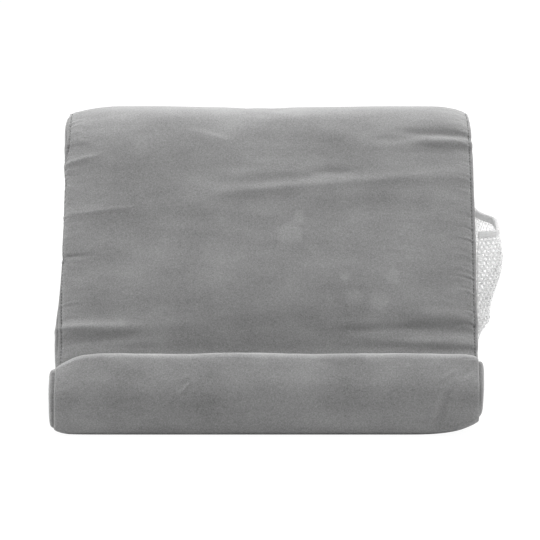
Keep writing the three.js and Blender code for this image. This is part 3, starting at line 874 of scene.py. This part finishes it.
def pocketSurface(across, rise, sizes, surface):
    bottom, mouth = sizes["bottom"], sizes["mouth"]
    frontY = bottom["frontY"] + (mouth["frontY"] - bottom["frontY"]) * rise
    rearY = bottom["rearY"] + (mouth["rearY"] - bottom["rearY"]) * rise
    y = frontY + (rearY - frontY) * across
    mouthZ = mouth["frontZ"] + (mouth["rearZ"] - mouth["frontZ"]) * across
    z = bottom["z"] + (mouthZ - bottom["z"]) * rise
    puff = np.maximum(smoothTable(sizes["plan"], across), 0)
    stand = np.maximum(smoothTable(sizes["fall"], rise), 0) * mm * puff
    stand += sizes["gap"] + sizes["tapeRoom"] * ease(rise, *sizes["tapeFrom"])
    panel = np.empty(len(y))
    for index, (py, pz) in enumerate(zip(y, z)):
        hit = surface.ray_cast(Vector((sizes["rayFrom"], py, pz)), Vector((-1, 0, 0)))[0]
        panel[index] = hit.x
    return np.column_stack([panel + stand, y, z])


def evenAcross(share, rise, sizes, surface):
    columnCount, rowCount = sizes["columns"], sizes["rows"]
    columns = np.linspace(0, 1, columnCount + 1)
    table = []
    for row in np.linspace(0, 1, rowCount + 1):
        line = pocketSurface(columns, np.full(len(columns), row), sizes, surface)
        steps = np.linalg.norm(np.diff(line, axis=0), axis=1)
        length = np.concatenate([[0], np.cumsum(steps)])
        table.append(np.interp(columns, length / length[-1], columns))
    table = np.array(table)
    rowPlace = np.clip(rise * rowCount, 0, rowCount - sizes["justShort"])
    columnPlace = np.clip(share * columnCount, 0, columnCount - sizes["justShort"])
    r, c = rowPlace.astype(int), columnPlace.astype(int)
    fr, fc = rowPlace - r, columnPlace - c
    return ((1 - fr) * ((1 - fc) * table[r, c] + fc * table[r, c + 1])
            + fr * ((1 - fc) * table[r + 1, c] + fc * table[r + 1, c + 1]))


def flatNet(sizes):
    radius = sizes["cell"] / math.sqrt(3)
    bpy.ops.object.select_all(action="DESELECT")
    bpy.ops.mesh.primitive_circle_add(vertices=6, radius=radius, fill_type="NGON")
    piece = bpy.context.active_object
    piece.name = "pocketNet"
    across = int(sizes["flatBottom"] / sizes["cell"]) + 2
    upward = int(sizes["flatHeight"] / (3 * radius)) + 2
    applyModifier(piece, "ARRAY", count=across, use_relative_offset=False, use_constant_offset=True,
                  constant_offset_displace=(sizes["cell"], 0, 0))
    applyModifier(piece, "ARRAY", count=2, use_relative_offset=False, use_constant_offset=True,
                  constant_offset_displace=(0.5 * sizes["cell"], 1.5 * radius, 0))
    applyModifier(piece, "ARRAY", count=upward, use_relative_offset=False, use_constant_offset=True,
                  constant_offset_displace=(0, 3 * radius, 0))
    points = readPoints(piece)
    points[:, 0] -= 0.5 * (points[:, 0].min() + points[:, 0].max())
    points[:, 1] -= points[:, 1].min() + radius
    writePoints(piece, points)
    editAll(piece)
    bpy.ops.mesh.remove_doubles(threshold=sizes["weld"])
    lean = math.atan2(0.5 * (sizes["flatBottom"] - sizes["flatMouth"]), sizes["flatHeight"])
    cuts = [
        ((0, 0, 0), (0, -1, 0)),
        ((0, sizes["flatHeight"], 0), (0, 1, 0)),
        ((0.5 * sizes["flatBottom"], 0, 0), (math.cos(lean), math.sin(lean), 0)),
        ((-0.5 * sizes["flatBottom"], 0, 0), (-math.cos(lean), math.sin(lean), 0)),
    ]
    for place, outward in cuts:
        bpy.ops.mesh.select_all(action="SELECT")
        bpy.ops.mesh.bisect(plane_co=place, plane_no=outward, clear_outer=True)
    leaveEdit()
    return piece


def openHoles(piece, sizes):
    for face in piece.data.polygons:
        x, y, _ = face.center
        halfWidth = 0.5 * np.interp(y, [0, sizes["flatHeight"]], [sizes["flatBottom"], sizes["flatMouth"]])
        whole = len(face.vertices) == 6
        face.select = bool(whole and y > sizes["hem"] and abs(x) < halfWidth - sizes["sideHem"])
    bpy.ops.object.mode_set(mode="EDIT")
    bpy.ops.mesh.select_mode(type="FACE")
    bpy.ops.mesh.inset(thickness=0.5 * sizes["strand"], use_individual=True)
    bpy.ops.mesh.delete(type="FACE")
    leaveEdit()


def makeNet(sizes, surface):
    piece = flatNet(sizes)
    pickOnly(piece)
    bpy.ops.object.mode_set(mode="EDIT")
    bpy.ops.mesh.select_all(action="DESELECT")
    leaveEdit()
    openHoles(piece, sizes)
    flat = readPoints(piece)
    rise = np.clip(flat[:, 1] / sizes["flatHeight"], 0, 1)
    width = sizes["flatBottom"] + (sizes["flatMouth"] - sizes["flatBottom"]) * rise
    share = np.clip(flat[:, 0] / width + 0.5, 0, 1)
    across = evenAcross(share, rise, sizes, surface)
    writePoints(piece, pocketSurface(across, rise, sizes, surface))
    editAll(piece)
    bpy.ops.mesh.normals_make_consistent(inside=False)
    leaveEdit()
    applyModifier(piece, "SOLIDIFY", thickness=sizes["thickness"], offset=0)
    pickOnly(piece)
    bpy.ops.object.shade_smooth()
    piece.data.materials.append(netYarn)
    return piece


sidePanel = surfaceOf(wedgeCover)
pocketNet = makeNet(pocketSizes, sidePanel)
print("pocket net ready,", len(pocketNet.data.polygons), "faces")


# Tape folded over the mouth of the pocket

tapeSizes = {
    "drop": 4.2 * mm, "half": 1.0 * mm, "crown": 0.8 * mm, "thickness": 0.6 * mm,
    "columns": 120, "foldSteps": 7, "lookAhead": 0.01,
}


def makeTape(sizes, pocket, surface):
    half, drop = sizes["half"], sizes["drop"]
    turns = np.linspace(0, math.pi, sizes["foldSteps"])[1:-1]
    fold = [(-half, -drop), (-half, -0.5 * drop), (-half, 0)]
    fold += [(-half * math.cos(turn), sizes["crown"] * math.sin(turn)) for turn in turns]
    fold += [(half, 0), (half, -0.5 * drop), (half, -drop)]
    bpy.ops.object.select_all(action="DESELECT")
    bpy.ops.mesh.primitive_grid_add(x_subdivisions=sizes["columns"], y_subdivisions=len(fold) - 1, size=1)
    piece = bpy.context.active_object
    piece.name = "pocketTape"
    grid = readPoints(piece)
    share = grid[:, 0] + 0.5
    fold = np.array(fold)
    place = np.clip((grid[:, 1] + 0.5) * (len(fold) - 1), 0, len(fold) - 1)
    out = np.interp(place, np.arange(len(fold)), fold[:, 0])
    rise = np.interp(place, np.arange(len(fold)), fold[:, 1])
    mouth = np.ones(len(share))
    across = evenAcross(share, mouth, pocket, surface)
    here = pocketSurface(across, mouth, pocket, surface)
    ahead = pocketSurface(np.clip(across + sizes["lookAhead"], 0, 1), mouth, pocket, surface)
    behind = pocketSurface(np.clip(across - sizes["lookAhead"], 0, 1), mouth, pocket, surface)
    run = ahead - behind
    run /= np.linalg.norm(run, axis=1)[:, None]
    outward = np.cross(run, [0, 0, 1.0])
    outward /= np.linalg.norm(outward, axis=1)[:, None]
    writePoints(piece, here + outward * out[:, None] + np.array([0, 0, 1.0]) * rise[:, None])
    editAll(piece)
    bpy.ops.mesh.normals_make_consistent(inside=False)
    leaveEdit()
    applyModifier(piece, "SOLIDIFY", thickness=sizes["thickness"], offset=0)
    pickOnly(piece)
    bpy.ops.object.shade_smooth()
    piece.data.materials.append(tapeCloth)
    return piece


pocketTape = makeTape(tapeSizes, pocketSizes, sidePanel)
print("pocket tape ready")


# Floor and light

stageSizes = {
    "floor": 40.0, "floorGrey": 0.7, "seenGrey": 0.1, "seenGlow": 0.97,
    "world": 0.3, "aim": (0, 0, 0.1),
    "lights": [   # name, place, power and width
        ("overheadSoftbox", (0, 0.5, 1.9), 71.0, 2.2),
        ("leftSoftbox", (-1.7, 0.1, 0.5), 10.5, 0.9),
        ("rightSoftbox", (1.7, 0.3, 0.5), 8.5, 0.9),
        ("backSoftbox", (0.5, 1.6, 0.4), 10.0, 1.4),
    ],
}


def makeStage(sizes):
    bpy.ops.object.select_all(action="DESELECT")
    bpy.ops.mesh.primitive_plane_add(size=sizes["floor"])
    floor = bpy.context.active_object
    floor.name = "paleFloor"
    material, tree, shader = newMaterial("paleFloor")
    seen = addNode(tree, "ShaderNodeLightPath").outputs["Is Camera Ray"]   # an overexposed white sweep
    tone = addNode(tree, "ShaderNodeMapRange", {"To Min": sizes["floorGrey"], "To Max": sizes["seenGrey"]})
    tree.links.new(seen, tone.inputs["Value"])
    tree.links.new(tone.outputs["Result"], shader.inputs["Base Color"])
    tree.links.new(math2(tree, "MULTIPLY", seen, sizes["seenGlow"]), shader.inputs["Emission Strength"])
    shader.inputs["Roughness"].default_value = 1.0
    shader.inputs["Specular IOR Level"].default_value = 0.0
    shader.inputs["Emission Color"].default_value = (1, 1, 1, 1)
    floor.data.materials.append(material)
    world = bpy.data.worlds.new("softRoom")
    world.use_nodes = True
    world.node_tree.nodes["Background"].inputs["Color"].default_value = (1, 1, 1, 1)
    world.node_tree.nodes["Background"].inputs["Strength"].default_value = sizes["world"]
    scene.world = world
    for name, place, energy, size in sizes["lights"]:
        bpy.ops.object.light_add(type="AREA", location=place)
        light = bpy.context.active_object
        light.name = name
        light.data.energy = energy
        light.data.size = size
        light.rotation_euler = (Vector(sizes["aim"]) - light.location).to_track_quat("-Z", "Y").to_euler()
    scene.view_settings.view_transform = "Standard"


makeStage(stageSizes)
print("stage ready")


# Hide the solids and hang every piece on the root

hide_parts("wedge_cushion")
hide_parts("ledge_roll")
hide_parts("pocket_net")
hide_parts("pocket_binding")
for piece, slot in [(wedgeCover, "cover"), (ledgeCover, "cover"), (pocketNet, "net"), (pocketTape, "tape")]:
    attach(piece, "root")
for piece in topStitches:
    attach(piece, "root")

print("pieces placed")
